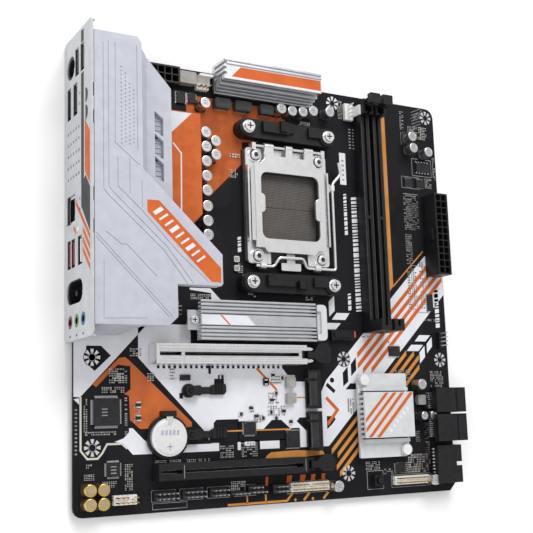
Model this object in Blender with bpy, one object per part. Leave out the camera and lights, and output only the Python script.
"""A micro-ATX motherboard for a desktop computer, as separate pieces.

Run with: blender --background --python part.py, or from Blender's text editor.

Every size and place below is in millimetres from the board datum: X runs from the rear edge (the edge
with the ports) to the front edge, Y from the bottom edge to the top edge, and Z up from the board's
underside. The empty called board_datum holds that corner, and the model's origin is the middle of the
footprint on the surface that the bare board lies on.
"""

import math

import bmesh
import bpy

MM = 0.001

# The board and its standard hole pattern.
BOARD_SIDE = 243.84
BOARD_TOP = 1.6
GAP = 0.3  # clearance between touching pieces
SEAT = BOARD_TOP + GAP  # where a part soldered to the board starts
HOLE_RADIUS = 2.0
HOLE_ROWS = {
    "rear": (10.16, (34.29, 80.01)),
    "rear_top": (33.02, (237.49,)),
    "middle": (165.1, (13.97, 80.01, 237.49)),
    "front": (237.49, (80.01, 237.49)),
}

# Outermost faces of the whole assembly.
REAR_FACE = -3.2  # outside of the rear shield
FRONT_FACE = 246.0  # mouths of the drive sockets
TOP_FACE = 247.4  # upper end of the rear shield
REST_FACE = -2.2  # underside of the processor backplate

# Processor socket.
SOCKET_X, SOCKET_Y = 128.2, 167.2
COOLER_X, COOLER_Y = 27.0, 45.0  # cooler screws, each side of the socket's centre
POST_RADIUS = 3.0
BRACKET_TOP = 9.6
FRAME_LOW, FRAME_HIGH = 4.2, 5.6
FRAME_HALF_X = 27.3
FRAME_SCREW_X, FRAME_SCREW_Y = 21.4, 29.6  # frame screws, each side of the socket's centre
KNUCKLES = (SOCKET_X - 20, SOCKET_X + 16.6)  # where the lever's two knuckles start
KNUCKLE_LONG = 3.4
FRAME_BOTTOM, FRAME_TOP = 133.6, 201.4
PLATE_LOW, PLATE_HIGH = 8.1, 9.3
HINGE_Y, HINGE_Z = 202.2, 7.9
HINGE_BAR_RADIUS = 0.8
LEVER_Y, LEVER_Z = 132.2, 6.0
LEVER_RADIUS = 0.9
LEVER_X = 159.4

# Slots.
MEMORY_SLOTS = (183.1, 192.3)
MEMORY_BOTTOM, MEMORY_TOP = 95.6, 238.9
MEMORY_LATCH_Y, MEMORY_LATCH_Z = 236.0, 6.0
TOWER_HIGH = 22.0
EXPANSION_REAR, EXPANSION_FRONT = 42.3, 132.2
GRAPHICS_Y = 81.5
EXPANSION_Y = GRAPHICS_Y - 3 * 20.32
SLOT_HALF = 4.35
SLOT_HIGH = 11.3
EDGE_LATCH_X, EDGE_LATCH_Z = 136.2, 5.0

# Storage.
STORAGE_Y = {"top": 100.0, "middle": 62.4, "bottom": 39.0}
STORAGE_POST_X = 65.2
STORAGE_LATCH_X = 63.6  # the turning latches stand just behind the end of a drive
STORAGE_CAP_RADIUS = 2.7

# Chipset heatsink.
CHIPSET_X, CHIPSET_Y = (171.3, 206.9), (22.2, 71.3)
CHIPSET_PINS = ((174.6, 67.6), (203.4, 26.2))

# Rear panel.
SHIELD_THICK = 0.7
PORT_FACE = REAR_FACE + SHIELD_THICK + GAP
SHIELD_Y = (87.4, TOP_FACE)
SHIELD_Z = (-2.0, 40.0)
JACK_Y, JACK_LEVELS = 96.9, (7.0, 17.0, 27.0)
FLASH_Y, FLASH_Z = 143.2, 18.2
KEYBOARD_Y, KEYBOARD_Z = 231.0, 8.0
COVER_TOP, COVER_TERRACE = 40.0, 30.0

# Reset key.
KEY_X, KEY_Y = 184.2, 9.1

datum = None


def clear_scene():
    for leftover in list(bpy.data.objects):
        bpy.data.objects.remove(leftover, do_unlink=True)


def make_datum():
    empty = bpy.data.objects.new("board_datum", None)
    empty.location = (
        -(REAR_FACE + FRONT_FACE) / 2 * MM,
        -TOP_FACE / 2 * MM,
        -REST_FACE * MM,
    )
    bpy.context.scene.collection.objects.link(empty)
    return empty


def surface(name, colour, roughness, metallic=0.0):
    material = bpy.data.materials.new(name)
    material.use_nodes = True
    shader = material.node_tree.nodes["Principled BSDF"]
    shader.inputs["Base Color"].default_value = (*colour, 1.0)
    shader.inputs["Roughness"].default_value = roughness
    shader.inputs["Metallic"].default_value = metallic
    return material


# Solids: each function returns (points, faces) in board millimetres.


def block(x, y, z):
    points = [(a, b, c) for a in x for b in y for c in z]
    faces = [(0, 1, 3, 2), (4, 6, 7, 5), (0, 4, 5, 1), (2, 3, 7, 6), (0, 2, 6, 4), (1, 5, 7, 3)]
    return points, faces


def swept(outline, low, high, place):
    """A closed outline carried from low to high; place(a, b, c) gives the point for outline (a, b) at c."""
    count = len(outline)
    points = [place(a, b, c) for c in (low, high) for a, b in outline]
    faces = [tuple(range(count)), tuple(range(2 * count - 1, count - 1, -1))]
    for i in range(count):
        j = (i + 1) % count
        faces.append((i, i + count, j + count, j))
    return points, faces


def prism(outline, low, high):
    return swept(outline, low, high, lambda a, b, c: (a, b, c))


def prism_x(outline, low, high):
    """The outline is in (y, z)."""
    return swept(outline, low, high, lambda a, b, c: (c, a, b))


def prism_y(outline, low, high):
    """The outline is in (x, z)."""
    return swept(outline, low, high, lambda a, b, c: (a, c, b))


def circle(x, y, radius, sides=16):
    turn = 2 * math.pi / sides
    return [
        (x + radius * math.cos(turn * (i + 0.5)), y + radius * math.sin(turn * (i + 0.5)))
        for i in range(sides)
    ]


def rod(x, y, radius, low, high, sides=16):
    return prism(circle(x, y, radius, sides), low, high)


def rod_x(y, z, radius, low, high, sides=12):
    return prism_x(circle(y, z, radius, sides), low, high)


def rounded(x, y, radii, steps=4):
    """A rectangle with a quarter arc at each corner: lower rear, lower front, upper front, upper rear."""
    corners = ((x[0], y[0], 1, 1), (x[1], y[0], -1, 1), (x[1], y[1], -1, -1), (x[0], y[1], 1, -1))
    outline = []
    for quarter, ((cx, cy, dx, dy), radius) in enumerate(zip(corners, radii)):
        start = math.pi * (1 + quarter / 2)
        for step in range(steps + 1):
            angle = start + math.pi / 2 * step / steps
            outline.append(
                (cx + dx * radius + radius * math.cos(angle), cy + dy * radius + radius * math.sin(angle))
            )
    return outline


def mirrored(outline, middle):
    """The outline reflected about the line where its first coordinate is middle."""
    return [(2 * middle - a, b) for a, b in outline][::-1]


def mesh_from(name, solids, origin):
    body = bmesh.new()
    for points, faces in solids:
        corners = [body.verts.new([(p - o) * MM for p, o in zip(point, origin)]) for point in points]
        made = [body.faces.new([corners[i] for i in face]) for face in faces]
        bmesh.ops.recalc_face_normals(body, faces=made)
    mesh = bpy.data.meshes.new(name)
    body.to_mesh(mesh)
    body.free()
    return mesh


def adopt(piece, origin):
    bpy.context.scene.collection.objects.link(piece)
    piece.parent = datum
    piece.location = [value * MM for value in origin]


def combine(piece, solids, origin, operation):
    """One Boolean of all these solids, held by a hidden helper that rides on the piece."""
    name = f"{piece.name}.{operation.lower()}"
    helper = bpy.data.objects.new(name, mesh_from(name, solids, origin))
    bpy.context.scene.collection.objects.link(helper)
    helper.parent = piece
    helper.hide_render = True
    helper.display_type = "WIRE"
    boolean = piece.modifiers.new(operation.title(), "BOOLEAN")
    boolean.operation = operation
    boolean.object = helper
    boolean.solver = "EXACT"
    boolean.use_self = len(solids) > 1


def make(name, look, base, add=(), cut=(), origin=(0, 0, 0)):
    piece = bpy.data.objects.new(name, mesh_from(name, [base], origin))
    adopt(piece, origin)
    piece.data.materials.append(look)
    if add:
        combine(piece, list(add), origin, "UNION")
    if cut:
        combine(piece, list(cut), origin, "DIFFERENCE")
    piece.data.shade_smooth()
    piece.data.set_sharp_from_angle(angle=math.radians(35))
    return piece


# Board and processor socket


def circuit_board(look):
    corner = 4.3
    outline = rounded((0, BOARD_SIDE), (0, BOARD_SIDE), (5.0, corner, 6.0, 3.0))
    # The lower front corner is a plain chamfer, so its arc becomes two points.
    outline = outline[:5] + [(BOARD_SIDE - corner, 0), (BOARD_SIDE, corner)] + outline[10:]
    holes = [
        rod(x, y, HOLE_RADIUS, -1, 3) for x, rows in HOLE_ROWS.values() for y in rows
    ]
    holes += [rod(x, y, POST_RADIUS + 0.5, -1, 3) for x, y in cooler_points()]
    holes += [rod(x, y, 1.9, -1, 3, 12) for x, y in CHIPSET_PINS]
    make("circuit_board", look, prism(outline, 0, BOARD_TOP), cut=holes)


def about_socket(reach):
    """The x and y ranges of a square of this half-width about the socket's centre."""
    return (SOCKET_X - reach, SOCKET_X + reach), (SOCKET_Y - reach, SOCKET_Y + reach)


def frame_screw_points():
    return [
        (SOCKET_X + dx * FRAME_SCREW_X, SOCKET_Y + dy * FRAME_SCREW_Y) for dx in (-1, 1) for dy in (-1, 1)
    ]


def cooler_points():
    return [
        (SOCKET_X + dx * COOLER_X, SOCKET_Y + dy * COOLER_Y) for dy in (1, -1) for dx in (-1, 1)
    ]


def cpu_backplate(look):
    x = (SOCKET_X - 32.5, SOCKET_X + 32.5)
    y = (SOCKET_Y - 50.5, SOCKET_Y + 50.5)
    posts = [rod(px, py, POST_RADIUS, REST_FACE + 0.5, BRACKET_TOP - GAP) for px, py in cooler_points()]
    window = prism(rounded(*about_socket(11), (3,) * 4, 2), -5, 1)
    waists = [
        block((middle - 8, middle + 8), (SOCKET_Y - 31, SOCKET_Y + 31), (-5, 1))
        for middle in (SOCKET_X - 36, SOCKET_X + 36)
    ]
    bores = [rod(px, py, 1.9, 2.5, 15, 12) for px, py in cooler_points()]
    plate = prism(rounded(x, y, (6,) * 4), REST_FACE, -GAP)
    make("cpu_backplate", look, plate, add=posts, cut=[window, *waists, *bores])


def socket_body(look):
    base = block((SOCKET_X - 28.1, SOCKET_X + 28.1), (134.9, 200.6), (SEAT, FRAME_LOW - GAP))
    housing = block(*about_socket(21.6), (2.5, 7.5))
    well = prism(rounded(*about_socket(20.2), (1.5,) * 4, 2), 3.3, 12)
    make("socket_body", look, base, add=[housing], cut=[well])


def socket_frame(look):
    x = (SOCKET_X - FRAME_HALF_X, SOCKET_X + FRAME_HALF_X)
    plate = prism(rounded(x, (FRAME_BOTTOM, FRAME_TOP), (2,) * 4, 2), FRAME_LOW, FRAME_HIGH)
    low, high = FRAME_HIGH - 0.7, FRAME_HIGH
    walls = [
        block(wall, (145.5, 190.5), (low, 8.0)) for wall in ((x[0], x[0] + 1.1), (x[1] - 1.1, x[1]))
    ]
    ears = [rod(px, py, 4.3, low, 6.6) for px, py in frame_screw_points()]
    uprights = [
        block((a, a + 2.4), (HINGE_Y - 2.6, HINGE_Y + 1.3), (low, HINGE_Z + 1.3))
        for a in (SOCKET_X - 24.6, SOCKET_X + 22.2)
    ]
    bar = rod_x(HINGE_Y, HINGE_Z, HINGE_BAR_RADIUS, SOCKET_X - 23, SOCKET_X + 23, 8)
    knuckles = [rod_x(LEVER_Y, LEVER_Z, 1.95, a, a + KNUCKLE_LONG) for a in KNUCKLES]
    webs = [
        block((a, a + KNUCKLE_LONG), (LEVER_Y + 1.0, FRAME_BOTTOM + 1), (low - 0.6, 7.2)) for a in KNUCKLES
    ]
    catch = block((x[1] - 0.5, LEVER_X - 1.4), (179.5, 184.5), (low, high))
    opening = prism(rounded(*about_socket(22), (0.4,) * 4, 1), 0, 12)
    crank_room = block((SOCKET_X - 12.5, SOCKET_X + 12.5), (125, 140.6), (0, 12))
    bores = [
        rod_x(LEVER_Y, LEVER_Z, LEVER_RADIUS + 0.4, a - 1, a + KNUCKLE_LONG + 1, 10) for a in KNUCKLES
    ]
    screw_holes = [rod(px, py, 1.7, 3, 9, 8) for px, py in frame_screw_points()]
    make(
        "socket_frame",
        look,
        plate,
        add=[*walls, *ears, *uprights, bar, *knuckles, *webs, catch],
        cut=[opening, crank_room, *bores, *screw_holes],
    )


def load_plate(look):
    left, right = SOCKET_X - 23.4, SOCKET_X + 23.4
    half = [
        (SOCKET_X, 139.9),
        (SOCKET_X + 16, 139.9),
        (SOCKET_X + 18, 142.4),
        (right, 142.4),
        (right, 191.6),
        (SOCKET_X + 19.5, 191.6),
        (SOCKET_X + 16.5, 195),
        (SOCKET_X + 16.5, HINGE_Y - 1.2),
        (SOCKET_X, HINGE_Y - 1.2),
    ]
    outline = half + mirrored(half, SOCKET_X)[1:-1]
    plate = prism(outline, PLATE_LOW, PLATE_HIGH)
    slope = [(right - 0.6, PLATE_LOW), (right + 1.3, 6.6), (right + 1.9, 7.6), (right - 0.6, PLATE_HIGH)]
    flanges = [
        prism_y(slope, 146.5, 189.5),
        prism_y(mirrored(slope, SOCKET_X), 146.5, 189.5),
    ]
    spans = ((-16.5, -10.5), (-2.2, 2.2), (10.5, 16.5))
    knuckles = [
        rod_x(HINGE_Y, HINGE_Z, 1.9, SOCKET_X + a, SOCKET_X + b) for a, b in spans
    ]
    window = prism(
        rounded((SOCKET_X - 19.5, SOCKET_X + 19.5), (SOCKET_Y - 19.5, SOCKET_Y + 19.5), (4,) * 4), 0, 15
    )
    bore = rod_x(HINGE_Y, HINGE_Z, HINGE_BAR_RADIUS + 0.4, left, right, 10)
    gaps = [
        block((SOCKET_X + a, SOCKET_X + b), (196.6, 206), (0, 15)) for a, b in ((-10.5, -2.2), (2.2, 10.5))
    ]
    make(
        "load_plate",
        look,
        plate,
        add=[*flanges, *knuckles],
        cut=[window, bore, *gaps],
        origin=(SOCKET_X, HINGE_Y, HINGE_Z),
    )


def bend(corner, before, after, radius, steps=3):
    """Points that round one corner of a wire path."""
    points = []
    for towards in (before, after):
        length = math.dist(corner, towards)
        points.append([c + (t - c) * radius / length for c, t in zip(corner, towards)])
    first, last = points
    curve = []
    for step in range(steps + 1):
        u = step / steps
        curve.append(
            [
                (1 - u) ** 2 * f + 2 * u * (1 - u) * c + u**2 * g
                for f, c, g in zip(first, corner, last)
            ]
        )
    return curve


def wire(name, look, path, radius, bends, origin):
    points = [path[0]]
    for i in range(1, len(path) - 1):
        points += bend(path[i], path[i - 1], path[i + 1], bends)
    points.append(path[-1])
    curve = bpy.data.curves.new(name, "CURVE")
    curve.dimensions = "3D"
    curve.bevel_depth = radius * MM
    curve.bevel_resolution = 2
    curve.use_fill_caps = True
    spline = curve.splines.new("POLY")
    spline.points.add(len(points) - 1)
    for target, point in zip(spline.points, points):
        target.co = (*[(p - o) * MM for p, o in zip(point, origin)], 1)
    piece = bpy.data.objects.new(name, curve)
    adopt(piece, origin)
    curve.materials.append(look)


def socket_lever(look):
    y, z = LEVER_Y, LEVER_Z
    crank_y, crank_z = y + 5.2, z + 1.6
    path = [
        (SOCKET_X - 22.5, y, z),
        (SOCKET_X - 11, y, z),
        (SOCKET_X - 8, crank_y, crank_z),
        (SOCKET_X + 8, crank_y, crank_z),
        (SOCKET_X + 11, y, z),
        (LEVER_X, y, z),
        (LEVER_X, 184.5, z),
        (LEVER_X + 5.6, 191, z + 1),
        (LEVER_X + 4.2, 198, z + 1.6),
    ]
    wire("socket_lever", look, path, LEVER_RADIUS, 1.6, (LEVER_X, LEVER_Y, LEVER_Z))


def cooler_brackets(look):
    """Each hook is given by its x limits from the socket's centre and its y limits from the bar's middle."""
    hooks = (
        ("cooler_bracket_top", 1, (-6.5, 3.8), (-0.8, 5.4)),
        ("cooler_bracket_bottom", -1, (2.4, 9.2), (-3.0, 1.6)),
    )
    reach = COOLER_X + 6
    for name, side, hook_x, hook_y in hooks:
        y = SOCKET_Y + side * COOLER_Y
        points = [p for p in cooler_points() if (p[1] > SOCKET_Y) == (side > 0)]
        bar = prism(
            rounded((SOCKET_X - reach, SOCKET_X + reach), (y - 5.6, y + 5.6), (5.5,) * 4), SEAT, 8.2
        )
        ends = [rod(px, py, 5.4, SEAT + 0.5, BRACKET_TOP) for px, py in points]
        rear_block = block((SOCKET_X - 17.4, SOCKET_X + 0.1), (y - 1.8, y + 4.4), (4, 10.8))
        front_block = block((SOCKET_X + 13.6, SOCKET_X + 22.8), (y - 1.4, y + 4.4), (4, 10.2))
        x_low, x_high = (SOCKET_X + edge for edge in hook_x)
        hook = prism_y(
            [(x_low, 7), (x_high, 7), (x_high, 9.4), (x_low + 1.6, 12.4), (x_low, 12.4)],
            y + hook_y[0],
            y + hook_y[1],
        )
        hollow = block((SOCKET_X - 14, SOCKET_X + 14), (y - 4.0, y + 4.0), (0, 5.2))
        bores = [rod(px, py, POST_RADIUS + 0.4, 0, 14) for px, py in points]
        make(name, look, bar, add=[*ends, rear_block, front_block, hook], cut=[hollow, *bores])


def cooler_screws(look):
    for index, (x, y) in enumerate(cooler_points(), 1):
        head_low = BRACKET_TOP + GAP
        washer = rod(x, y, 3.8, head_low, head_low + 0.6)
        dome = rod(x, y, 3.1, head_low + 0.4, head_low + 2.6)
        shank = rod(x, y, 1.5, 3.5, head_low + 1, 8)
        cross = [
            block((x - 1.9, x + 1.9), (y - 0.4, y + 0.4), (head_low + 1.4, 20)),
            block((x - 0.4, x + 0.4), (y - 1.9, y + 1.9), (head_low + 1.4, 20)),
        ]
        make(f"cooler_screw_{index}", look, washer, add=[dome, shank], cut=cross, origin=(x, y, 0))


# Slots and their latches


def memory_slots(plastic, latch_look):
    for index, x in enumerate(MEMORY_SLOTS, 1):
        pivot = (MEMORY_LATCH_Y, MEMORY_LATCH_Z)
        body = block((x - 3.2, x + 3.2), (MEMORY_BOTTOM, MEMORY_TOP), (SEAT, 9.9))
        tower = block((x - 3.7, x + 3.7), (MEMORY_BOTTOM, 102.5), (SEAT + 0.5, TOWER_HIGH))
        cheeks = block((x - 3.7, x + 3.7), (229.6, MEMORY_TOP), (SEAT + 0.5, 14.5))
        grooves = [
            block((x - 0.8, x + 0.8), (98.4, 164.6), (4.2, 40)),
            block((x - 0.8, x + 0.8), (166.6, 232), (4.2, 40)),
        ]
        latch_room = block((x - 2.2, x + 2.2), (231.2, 250), (4.0, 40))
        pin_hole = rod_x(*pivot, 1.2, x - 5, x + 5, 8)
        make(
            f"memory_slot_{index}",
            plastic,
            body,
            add=[tower, cheeks],
            cut=[*grooves, latch_room, pin_hole],
        )
        arm = [
            (231.9, 4.9),
            (236.0, 4.3),
            (237.3, 4.9),
            (238.0, 6.2),
            (238.8, 9.5),
            (238.9, TOWER_HIGH - 3),
            (240.2, TOWER_HIGH),
            (232.9, TOWER_HIGH),
            (232.9, 18.2),
            (235.2, 16.6),
            (235.0, 9.5),
            (231.9, 6.8),
        ]
        grip = block((x - 3.5, x + 3.5), (234.0, 240.2), (TOWER_HIGH - 3.2, TOWER_HIGH + 0.6))
        pin = rod_x(*pivot, 0.8, x - 3.4, x + 3.4, 8)
        notch = block((x - 0.8, x + 0.8), (225, 234.6), (8, 17.2))
        make(
            f"memory_latch_{index}",
            latch_look,
            prism_x(arm, x - 1.9, x + 1.9),
            add=[grip, pin],
            cut=[notch],
            origin=(x, *pivot),
        )


def edge_slot(name, look, y):
    """A slot for an edge-connector card, with its key rib and the forked bearing of its latch."""
    body = block((EXPANSION_REAR, EXPANSION_FRONT), (y - SLOT_HALF, y + SLOT_HALF), (SEAT, SLOT_HIGH))
    fork = block((EXPANSION_FRONT - 1, 138.6), (y - 3.6, y + 3.6), (SEAT, 7.4))
    grooves = [
        block((44.0, 55.6), (y - 0.95, y + 0.95), (4.4, 30)),
        block((57.5, 129.0), (y - 0.95, y + 0.95), (4.4, 30)),
    ]
    latch_room = block((EXPANSION_FRONT + 0.8, 145), (y - 2.1, y + 2.1), (3.0, 30))
    pin_hole = prism_y(circle(EDGE_LATCH_X, EDGE_LATCH_Z, 1.2, 8), y - 6, y + 6)
    make(name, look, body, add=[fork], cut=[*grooves, latch_room, pin_hole])


def edge_latch(name, look, y, wing):
    """wing is how far the finger plate reaches below and above the slot's centre line."""
    x, z = EDGE_LATCH_X, EDGE_LATCH_Z
    arm = [
        (x - 1.8, z - 1.0),
        (x, z - 1.7),
        (x + 1.8, z - 1.0),
        (x + 6.0, 7.2),
        (x + 6.0, 9.6),
        (x + 0.8, 9.6),
        (x + 0.8, 12.4),
        (x - 2.4, 12.4),
        (x - 2.4, 10.6),
        (x - 1.0, 9.4),
    ]
    low, high = y - wing[0], y + wing[1]
    plate = prism(
        [
            (x + 3.4, y - 1.8),
            (x + 7.0, low),
            (x + 13.6, low),
            (x + 15.0, low + 1.6),
            (x + 15.0, high - 3.0),
            (x + 12.4, high),
            (x + 7.0, high),
            (x + 3.4, y + 1.8),
        ],
        8.0,
        9.6,
    )
    pin = prism_y(circle(x, z, 0.8, 8), y - 3.4, y + 3.4)
    make(name, look, prism_y(arm, y - 1.8, y + 1.8), add=[plate, pin], origin=(x, y, z))


def graphics_slot_shield(look):
    x = (EXPANSION_REAR - 1.0, EXPANSION_FRONT + 1.0)
    y = (GRAPHICS_Y - SLOT_HALF - 1.0, GRAPHICS_Y + SLOT_HALF + 1.0)
    shell = block(x, y, (SEAT, SLOT_HIGH + 1.3))
    inside = block((x[0] + 0.7, x[1] - 0.7), (y[0] + 0.7, y[1] - 0.7), (0, SLOT_HIGH + GAP))
    window = block((43.2, 129.8), (GRAPHICS_Y - 2.2, GRAPHICS_Y + 2.2), (0, 30))
    mouth = block((129, 140), (GRAPHICS_Y - 4.0, GRAPHICS_Y + 4.0), (0, 8.0))
    latch_gap = block((129, 140), (GRAPHICS_Y - 2.2, GRAPHICS_Y + 2.2), (0, 30))
    make("graphics_slot_shield", look, shell, cut=[inside, window, mouth, latch_gap])


# Storage sockets, heatsink and posts


def storage_connectors(look):
    for where, y in STORAGE_Y.items():
        body = block((137.2, 145.8), (y - 10.9, y + 10.9), (SEAT, 6.1))
        mouth = block((130, 141.2), (y - 10.1, y + 10.1), (3.5, 5.1))
        key = block((136, 141.4), (y + 5.2, y + 6.3), (3.0, 5.6))
        relief = block((130, 138.4), (y - 8.5, y + 3.5), (4.6, 8))
        piece = make(f"storage_connector_{where}", look, body, cut=[mouth, relief])
        combine(piece, [key], (0, 0, 0), "UNION")


def storage_heatsink(look):
    y = STORAGE_Y["top"]
    low, floor, high = 6.6, 8.6, 12.0
    fin, pitch, band = 1.15, 2.05, 2.9
    half = [(y, low), (y + 10.9, low)]
    for number in range(4):
        edge = y + 10.9 - number * pitch
        half += [(edge, high), (edge - fin, high), (edge - fin, floor)]
        if number < 3:
            half.append((edge - pitch, floor))
    half += [(y + band, floor), (y + band, high), (y, high)]
    outline = half + mirrored(half, y)[1:-1]
    tab = block((61.4, 68), (y - 5.4, y + 5.4), (low, 8.0))
    hole = rod(STORAGE_POST_X, y, 1.6, 0, 20, 10)
    make("storage_heatsink", look, prism_x(outline, 67.6, 140.6), add=[tab], cut=[hole])


def storage_bracket(look):
    y = STORAGE_Y["top"]
    body = prism(rounded((141.2, 147.8), (y - 10.3, y + 10.3), (1.2, 2.4, 2.4, 1.2), 2), 6.5, 12.2)
    legs = [block((146.4, 147.8), (y + a, y + a + 4), (SEAT, 7)) for a in (-9, 5)]
    notch = block((139, 144), (y - 6.4, y + 6.4), (10.4, 20))
    make("storage_bracket", look, body, add=legs, cut=[notch])


def storage_fixings(brass, steel, plastic):
    y = STORAGE_Y["top"]
    bore = rod(STORAGE_POST_X, y, 1.5, 3, 9, 10)
    make("storage_standoff", brass, rod(STORAGE_POST_X, y, 2.8, SEAT, 6.3, 12), cut=[bore])
    head = rod(STORAGE_POST_X, y, 2.1, 8.3, 10.0)
    shank = rod(STORAGE_POST_X, y, 1.1, 3.6, 8.5, 8)
    cross = [
        block((STORAGE_POST_X - 1.4, STORAGE_POST_X + 1.4), (y - 0.3, y + 0.3), (9.2, 12)),
        block((STORAGE_POST_X - 0.3, STORAGE_POST_X + 0.3), (y - 1.4, y + 1.4), (9.2, 12)),
    ]
    make("storage_screw", steel, head, add=[shank], cut=cross)
    turning_latch("middle", plastic, 3.8)
    turning_latch("bottom", plastic, STORAGE_CAP_RADIUS)


def turning_latch(where, look, foot_radius):
    """A foot with a long arm under the drive, and a winged cap that turns on the foot's spindle."""
    x, y = STORAGE_LATCH_X, STORAGE_Y[where]
    foot_top, cap_low, cap_high = 3.6, 4.9, 6.3
    foot = rod(x, y, foot_radius, SEAT, foot_top)
    spindle = rod(x, y, 1.1, foot_top - 0.2, cap_high + 0.3, 8)
    arm = block((x + 1.5, x + 13.8), (y - 1.9, y + 1.9), (SEAT, foot_top - 0.2))
    grip = prism(
        [
            (x + 13.2, y - 2.3),
            (x + 20.9, y - 2.3),
            (x + 22.2, y - 0.8),
            (x + 22.2, y + 2.8),
            (x + 21.0, y + 3.8),
            (x + 17.0, y + 3.8),
            (x + 13.2, y + 2.6),
        ],
        SEAT,
        foot_top + 0.3,
    )
    grooves = [
        block((x + reach, x + reach + 0.8), (y - 5, y + 5), (foot_top - 0.4, 9))
        for reach in (15.4, 17.2, 19.0)
    ]
    make(f"storage_post_{where}", look, foot, add=[spindle, arm, grip], cut=grooves)
    wing = prism(
        [
            (x, y - 2.4),
            (x + 5.4, y - 2.8),
            (x + 6.2, y - 2.0),
            (x + 6.2, y + 2.0),
            (x + 5.4, y + 2.8),
            (x, y + 2.4),
        ],
        cap_low,
        cap_high,
    )
    bore = rod(x, y, 1.5, 0, 20, 10)
    cap = rod(x, y, STORAGE_CAP_RADIUS, cap_low, cap_high)
    make(f"storage_latch_{where}", look, cap, add=[wing], cut=[bore], origin=(x, y, cap_low))


# Heatsinks


def chipset(package_look, heatsink_look, pin_look):
    centre_x = sum(CHIPSET_X) / 2
    centre_y = sum(CHIPSET_Y) / 2
    make(
        "chipset_package",
        package_look,
        block((centre_x - 12, centre_x + 12), (centre_y - 12, centre_y + 12), (SEAT, 2.9)),
        add=[block((centre_x - 5, centre_x + 5), (centre_y - 5, centre_y + 5), (2.5, 3.9))],
    )
    flange = prism(rounded(CHIPSET_X, CHIPSET_Y, (0.8, 3.2, 0.8, 3.2), 3), 4.2, 5.8)
    plate = block(CHIPSET_X, (33.7, 60.1), (5, 12.0))
    ribs = [block((CHIPSET_X[0] + 1.8, CHIPSET_X[1] - 1.2), (y, y + 2.0), (5, 8.6)) for y in (30.9, 60.9)]
    fin_slots = [
        block((CHIPSET_X[0] - 1, CHIPSET_X[0] + 2.4), (y, y + 1.5), (6.4, 10.6))
        for y in [35.3 + 2.9 * number for number in range(9)]
    ]
    undercut = block((CHIPSET_X[1] - 2.4, CHIPSET_X[1] + 1), (34, 59.8), (7.2, 10.2))
    holes = [rod(x, y, 2.0, 0, 20, 12) for x, y in CHIPSET_PINS]
    make(
        "chipset_heatsink",
        heatsink_look,
        flange,
        add=[plate, *ribs],
        cut=[*fin_slots, undercut, *holes],
    )
    for index, (x, y) in enumerate(CHIPSET_PINS, 1):
        shaft = rod(x, y, 1.5, -1.4, 7, 12)
        barb = rod(x, y, 1.7, -1.4, -0.6, 12)
        groove = block((x - 0.3, x + 0.3), (y - 4, y + 4), (-3, 0.8))
        make(
            f"chipset_pin_{index}",
            pin_look,
            rod(x, y, 3.2, 6.6, 8.8),
            add=[shaft, barb],
            cut=[groove],
            origin=(x, y, 0),
        )


def regulator_heatsink_top(look):
    outline = [
        (230.4, 4.2),
        (TOP_FACE - 0.4, 4.2),
        (TOP_FACE - 0.4, 20.5),
        (TOP_FACE - 1.8, 20.5),
        (TOP_FACE - 1.8, 19.3),
        (TOP_FACE - 2.6, 19.3),
        (TOP_FACE - 2.6, 20.5),
        (TOP_FACE - 3.8, 20.5),
        (TOP_FACE - 3.8, 19.7),
        (235.0, 19.7),
        (235.0, 16.2),
        (237.4, 16.2),
        (237.4, 14.7),
        (233.2, 14.7),
        (233.2, 12.9),
        (236.2, 12.9),
        (236.2, 11.9),
        (232.3, 11.9),
        (232.3, 10.3),
        (235.4, 10.3),
        (235.4, 9.3),
        (231.4, 9.3),
        (231.4, 7.7),
        (234.6, 7.7),
        (234.6, 6.7),
        (230.4, 6.7),
    ]
    end_cuts = [block((80, 83.0), (a, a + 1.5), (7, 30)) for a in (237.6, 240.6, 243.6)]
    make("regulator_heatsink_top", look, prism_x(outline, 81.6, 145.8), cut=end_cuts)


def regulator_heatsink_rear(look):
    outline = [
        (37.0, 151.6),
        (63.2, 151.6),
        (68.6, 157.0),
        (68.6, 213.9),
        (37.0, 213.9),
    ]
    section = [(30, 12.2), (50, 15.2), (80, 15.2), (80, 30), (30, 30)]
    fin_slots = [
        block((x, x + 1.3), (145, 230), (9, 30)) for x in (33.5 + 2.6 * number for number in range(3, 6))
    ]
    make(
        "regulator_heatsink_rear",
        look,
        prism(outline, 4.2, 15.0),
        cut=[prism_y(section[:2] + section[3:], 140, 230), *fin_slots],
    )


# Rear cover and shield


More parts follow.
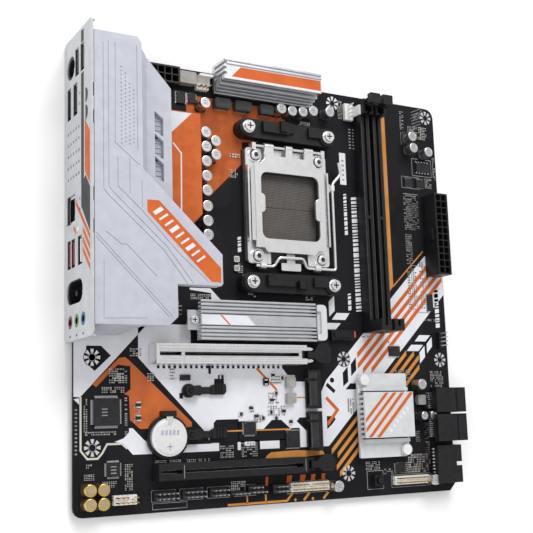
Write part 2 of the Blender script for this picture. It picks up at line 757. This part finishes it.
def rear_cover(look):
    wall = 1.6
    low_edge, high_edge = 91.6, 241.1
    rear, box_front = -1.7, 23.7
    top_outline = [
        (rear, 92.9),
        (36.8, 92.9),
        (41.6, 97.4),
        (41.6, 113.9),
        (66.2, 113.9),
        (67.1, 115.2),
        (67.1, 130.3),
        (box_front, 171.8),
        (box_front, 237.9),
        (21.4, high_edge),
        (rear, high_edge),
    ]
    slab = prism(top_outline, 33.4, COVER_TOP)
    front_wall = prism_x(
        [(low_edge, 3.0), (93.5, 3.0), (93.5, 32.5), (95.0, 34.5), (95.0, 38), (92.9, 38)], rear, box_front
    )
    inner_wall = block((box_front - wall, box_front), (92.6, 239.0), (8.0, 38))
    end_wall = block((rear, 22.4), (high_edge - wall, high_edge), (3.0, 38))
    terrace_outline = [
        (box_front - 1.0, 160),
        (44.1, 151.5),
        (44.1, 219.6),
        (31.0, 234.2),
        (box_front - 1.0, 236.5),
    ]
    terrace = prism(terrace_outline, COVER_TERRACE - 2.0, COVER_TERRACE)
    slope_foot = 30.2
    slope = prism_y(
        [
            (box_front - 1.0, COVER_TERRACE - 1.6),
            (slope_foot, COVER_TERRACE - 1.6),
            (slope_foot, COVER_TERRACE),
            (box_front, COVER_TOP),
            (box_front - 1.0, COVER_TOP),
        ],
        163,
        235,
    )
    riser = prism(
        [(box_front - 1.0, 160), (44.1, 140.9), (44.1, 152.5), (box_front - 1.0, 171.5)],
        COVER_TERRACE - 2.0,
        36,
    )
    box_hollow = block((rear - 2, box_front - wall), (95.0, high_edge - wall), (0, COVER_TOP - 2.2))
    arm_hollow = prism(
        [
            (box_front + 1.4, 97.0),
            (36.0, 97.0),
            (39.6, 100.2),
            (39.6, 115.9),
            (64.6, 115.9),
            (64.6, 129.8),
            (44.8, 149.2),
            (43.6, 138.5),
            (box_front + 1.4, 157),
        ],
        20,
        COVER_TOP - 2.2,
    )
    vents = [
        prism([(34.6, y), (39.4, y - 2.4), (39.4, y + 7.2), (34.6, y + 11.0)], 20, 35)
        for y in (170.9, 183.1, 195.3)
    ]
    passage = block((10, 30), (100, 136), (0, 27))
    make(
        "rear_cover",
        look,
        slab,
        add=[front_wall, inner_wall, end_wall, terrace, slope, riser],
        cut=[box_hollow, arm_hollow, *vents, passage],
    )


def rear_shield(look):
    y_low, y_high = SHIELD_Y
    z_low, z_high = SHIELD_Z
    inner = REAR_FACE + SHIELD_THICK
    plate = prism_x(rounded(SHIELD_Y, SHIELD_Z, (1.5,) * 4, 2), REAR_FACE, inner)
    top_rim = block((REAR_FACE + 0.4, -2.0), (y_low + 2, y_high - 2), (z_high - 0.7, z_high))
    lower_rim = block((REAR_FACE + 0.4, -0.5), (y_low + 2, y_high - 2), (z_low, z_low + 0.7))
    side_rims = [
        block((REAR_FACE + 0.4, -0.4), (y_low, y_low + 0.7), (z_low + 2, z_high - 2)),
        block((REAR_FACE + 0.4, -0.4), (y_high - 0.7, y_high), (z_low + 2, z_high - 2)),
    ]
    through = (REAR_FACE - 1, inner + 0.2)
    ports = [
        block(through, y, z)
        for y, z in (
            ((124.2, 139.0), (2.6, 8.0)),
            ((124.2, 139.0), (9.0, 14.6)),
            ((124.2, 139.0), (18.8, 25.6)),
            ((147.2, 162.2), (2.0, 14.8)),
            ((203.2, 220.6), (2.2, 8.2)),
            ((203.2, 220.6), (11.9, 18.3)),
            ((223.8, 238.6), (15.0, 20.8)),
            ((223.8, 238.6), (23.4, 29.2)),
        )
    ]
    ports += [rod_x(JACK_Y, z, 3.4, *through, 14) for z in JACK_LEVELS]
    ports.append(rod_x(FLASH_Y, FLASH_Z, 2.1, *through, 10))
    ports.append(rod_x(KEYBOARD_Y, KEYBOARD_Z, 6.4, *through, 20))
    ports.append(prism_x(rounded((105.6, 117.6), (1.6, 26.4), (5.6,) * 4), *through))
    vents = [
        block(through, (y, y + 1.6), (z, z + 1.8))
        for y in (170.6, 176.7, 182.8, 188.9, 195.0)
        for z in (3.0, 7.2, 11.4, 15.6, 19.8)
    ]
    slots = [block((inner + 0.1, 3), (y, y + 7), (z_high - 2, z_high + 1)) for y in (137, 153, 192, 206)]
    make(
        "rear_shield",
        look,
        plate,
        add=[top_rim, lower_rim, *side_rims],
        cut=[*ports, *vents, *slots],
    )


# Rear ports


def socket_with_tongue(y, z, depth, tongue):
    """Cutters for a flat port mouth that keeps a contact tongue inside: y and z are its limits."""
    middle = (z[0] + z[1]) / 2
    start = PORT_FACE - 1
    end = PORT_FACE + depth
    return [
        block((start, end), y, (middle + tongue, z[1])),
        block((start, end), y, (z[0], middle - tongue)),
        block((start, PORT_FACE + 1.5), y, z),
    ]


def rear_ports(silver, black):
    face = PORT_FACE
    bores = [rod_x(JACK_Y, z, 1.75, REAR_FACE - 1, face + 11, 10) for z in JACK_LEVELS]
    rings = [rod_x(JACK_Y, z, 3.1, REAR_FACE + 0.1, face + 1, 14) for z in JACK_LEVELS]
    body = block((face, 11.5), (94.0, 101.2), (SEAT, 31.6))
    make("audio_jacks", black, body, add=rings, cut=bores)

    body = block((face, 8.0), (104.2, 119.0), (SEAT, 28.0))
    recess = prism_x(rounded((106.0, 117.2), (3.0, 26.0), (5.2,) * 4), face - 1, 3.2)
    posts = [rod_x(111.6, z, 1.6, -0.8, 3.6, 10) for z in (9.4, 19.6)]
    piece = make("antenna_socket", black, body, cut=[recess])
    combine(piece, posts, (0, 0, 0), "UNION")

    cuts = socket_with_tongue((125.0, 138.2), (3.2, 7.4), 9, 0.6)
    cuts += socket_with_tongue((125.0, 138.2), (9.6, 14.0), 9, 0.6)
    cuts += socket_with_tongue((125.0, 138.2), (19.4, 25.0), 9, 0.8)
    body = block((face, 17.5), (123.7, 139.5), (SEAT, 28.2))
    make("usb_stack", silver, body, cut=cuts)

    body = block((0.6, 6.0), (141.0, 145.4), (SEAT, 21.0))
    bore = rod_x(FLASH_Y, FLASH_Z, 1.5, 0, 4, 10)
    make("flash_switch", black, body, cut=[bore])
    stem = rod_x(FLASH_Y, FLASH_Z, 1.2, -1, 2.6, 8)
    cap = rod_x(FLASH_Y, FLASH_Z, 1.75, REAR_FACE + 0.1, -0.4, 10)
    make("flash_button", silver, cap, add=[stem], origin=(0, FLASH_Y, FLASH_Z))

    body = block((face, 19.0), (146.8, 162.6), (SEAT, 15.6))
    cavity = block((face - 1, 12.5), (148.8, 160.6), (3.4, 11.4))
    latch_way = block((face - 1, 9.0), (151.9, 157.5), (10, 13.6))
    make("network_jack", silver, body, cut=[cavity, latch_way])

    cuts = socket_with_tongue((204.4, 219.4), (2.9, 7.5), 9, 0.5)
    cuts += socket_with_tongue((204.4, 219.4), (12.6, 17.6), 9, 0.5)
    body = block((face, 16.0), (203.2, 220.6), (SEAT, 19.6))
    make("display_ports", silver, body, cut=cuts)

    cuts = socket_with_tongue((224.6, 237.8), (15.6, 20.2), 9, 0.6)
    cuts += socket_with_tongue((224.6, 237.8), (24.0, 28.6), 9, 0.6)
    cuts.append(rod_x(KEYBOARD_Y, KEYBOARD_Z, 4.9, face - 1, 8, 18))
    body = block((face, 14.5), (223.2, 239.0), (SEAT, 30.4))
    peg = block((face + 1, 9), (KEYBOARD_Y - 0.9, KEYBOARD_Y + 0.9), (KEYBOARD_Z - 0.8, KEYBOARD_Z + 0.8))
    piece = make("keyboard_port", silver, body, cut=cuts)
    combine(piece, [peg], (0, 0, 0), "UNION")


# Power, drive and front sockets


def power_socket(name, look, x, y, columns, rows, latch):
    """A shrouded power socket with square pin cells at the standard 4.2 mm pitch."""
    pitch, cell, high = 4.2, 1.75, 14.6
    centre_x, centre_y = sum(x) / 2, sum(y) / 2
    cells = []
    for column in range(columns):
        for row in range(rows):
            cx = centre_x + (column - (columns - 1) / 2) * pitch
            cy = centre_y + (row - (rows - 1) / 2) * pitch
            cells.append(block((cx - cell, cx + cell), (cy - cell, cy + cell), (5.0, 30)))
    make(name, look, block(x, y, (SEAT, high)), add=[latch], cut=cells)


def power_sockets(look):
    latch = block((228.9, 231.0), (154.5, 161.5), (7.5, 12.0))
    power_socket("power_socket_24", look, (230.5, 240.8), (132.2, 184.0), 2, 12, latch)
    latch = block((45.0, 50.2), (227.9, 230.0), (7.5, 12.0))
    power_socket("power_socket_8", look, (38.4, 56.8), (229.4, 239.4), 4, 2, latch)


def drive_sockets(look):
    """Sockets lying on the board, each with a hood over its solder tails."""
    hood_low = 10.0
    for name, y in (("drive_socket_upper", (47.5, 62.3)), ("drive_socket_lower", (30.2, 46.4))):
        middle = sum(y) / 2
        body = block((223.6, FRONT_FACE), y, (SEAT, 13.6))
        step = block((238.2, 239.4), (y[0] - 1, y[1] + 1), (12.9, 20))
        tail_room = block((222, 228.0), (y[0] - 1, y[1] + 1), (0, hood_low))
        mouths = []
        for level in (3.2, 8.6):
            mouths.append(block((240.2, 250), (middle - 5.9, middle + 5.9), (level + 1.5, level + 3.6)))
            mouths.append(block((240.2, 250), (middle - 5.9, middle - 4.0), (level, level + 3.6)))
            mouths.append(block((240.2, 250), (middle - 5.9, middle + 5.9), (level - 0.4, level + 0.5)))
        make(name, look, body, cut=[step, tail_room, *mouths])


def front_usb_header(look):
    body = block((224.6, 242.9), (5.2, 27.7), (SEAT, 10.4))
    notch = block((238.8, 250), (15.3, 17.6), (0, 20))
    tail_room = block((223, 229.0), (4, 29), (0, 7.0))
    mouth = block((234, 250), (6.6, 26.3), (3.2, 9.0))
    tongue = block((232, 241.6), (8, 24.9), (5.3, 6.9))
    piece = make("front_usb_header", look, body, cut=[mouth, notch, tail_room])
    combine(piece, [tongue], (0, 0, 0), "UNION")


# Battery, chips, fan header and reset key


def battery(cell_look, holder_look):
    x, y, radius = 50.6, 38.3, 10.0
    cell = rod(x, y, radius, 3.5, 6.5, 32)
    rim = rod(x, y, radius - 1.2, 6.3, 6.9, 32)
    make("coin_cell", cell_look, cell, add=[rim])
    holder = rod(x, y, radius + 1.4, SEAT, 5.6, 28)
    well = rod(x, y, radius + 0.35, 3.2, 20, 28)
    mouth = block((x - 16, x - 4), (y - 6, y + 6), (4.2, 20))
    clip = block((x - 3.6, x + 3.6), (y + radius + 0.7, y + radius + 3.6), (SEAT, 8.0))
    latch_gap = rod(STORAGE_LATCH_X, STORAGE_Y["bottom"], STORAGE_CAP_RADIUS + GAP, 0, 20)
    make("coin_cell_holder", holder_look, holder, add=[clip], cut=[well, mouth, latch_gap])


def chips(look):
    chamfer = 0.7
    packages = (("controller_chip", 17.5, 52.1, 7.0, 3.4), ("audio_chip", 21.0, 23.0, 3.6, 2.9))
    for name, x, y, half, high in packages:
        outline = [
            (x - half + chamfer, y - half),
            (x + half, y - half),
            (x + half, y + half),
            (x - half, y + half),
            (x - half, y - half + chamfer),
        ]
        make(name, look, prism(outline, SEAT, high))


def cpu_fan_header(look):
    base = block((172.4, 178.4), (227.4, 237.8), (SEAT, 4.6))
    wall = block((178.0, 179.4), (229.6, 235.6), (SEAT + 0.4, 11.6))
    pins = [
        block((174.6, 175.3), (y, y + 0.7), (4, 10.4)) for y in (228.4, 230.94, 233.48, 236.02)
    ]
    make("cpu_fan_header", look, base, add=[wall, *pins])


def reset_key(case_look, button_look):
    case = block((KEY_X - 3.1, KEY_X + 3.1), (KEY_Y - 3.1, KEY_Y + 3.1), (SEAT, 5.3))
    bore = rod(KEY_X, KEY_Y, 2.1, 3.0, 9, 14)
    make("tact_switch", case_look, case, cut=[bore])
    stem = rod(KEY_X, KEY_Y, 1.75, 3.6, 6.8, 14)
    make("tact_button", button_look, stem, origin=(KEY_X, KEY_Y, 3.6))


def build():
    global datum
    clear_scene()
    datum = make_datum()

    steel = surface("steel", (0.62, 0.62, 0.61), 0.32, 1.0)
    dark_steel = surface("dark_steel", (0.30, 0.30, 0.31), 0.45, 1.0)
    brass = surface("brass", (0.72, 0.55, 0.28), 0.35, 1.0)
    aluminium = surface("aluminium", (0.74, 0.75, 0.77), 0.38, 1.0)
    orange = surface("orange", (0.76, 0.14, 0.025), 0.42)
    black = surface("black_plastic", (0.012, 0.012, 0.013), 0.5)
    white = surface("white_plastic", (0.66, 0.67, 0.75), 0.5)
    panel = surface("panel", (0.60, 0.61, 0.63), 0.45)
    board_look = surface("board", (0.016, 0.017, 0.019), 0.5)
    chip_look = surface("chip", (0.02, 0.02, 0.022), 0.6)

    circuit_board(board_look)
    cpu_backplate(dark_steel)
    socket_body(chip_look)
    socket_frame(steel)
    load_plate(steel)
    socket_lever(steel)
    cooler_brackets(black)
    cooler_screws(steel)
    memory_slots(black, black)
    edge_slot("graphics_slot", black, GRAPHICS_Y)
    graphics_slot_shield(steel)
    edge_latch("graphics_slot_latch", black, GRAPHICS_Y, (4.2, 7.0))
    edge_slot("expansion_slot", black, EXPANSION_Y)
    edge_latch("expansion_slot_latch", black, EXPANSION_Y, (4.2, 5.2))
    storage_connectors(black)
    storage_heatsink(aluminium)
    storage_bracket(white)
    storage_fixings(brass, steel, black)
    chipset(chip_look, white, white)
    regulator_heatsink_top(aluminium)
    regulator_heatsink_rear(orange)
    rear_cover(white)
    rear_shield(panel)
    rear_ports(steel, black)
    power_sockets(black)
    drive_sockets(black)
    front_usb_header(black)
    battery(steel, black)
    chips(chip_look)
    cpu_fan_header(white)
    reset_key(black, black)


build()
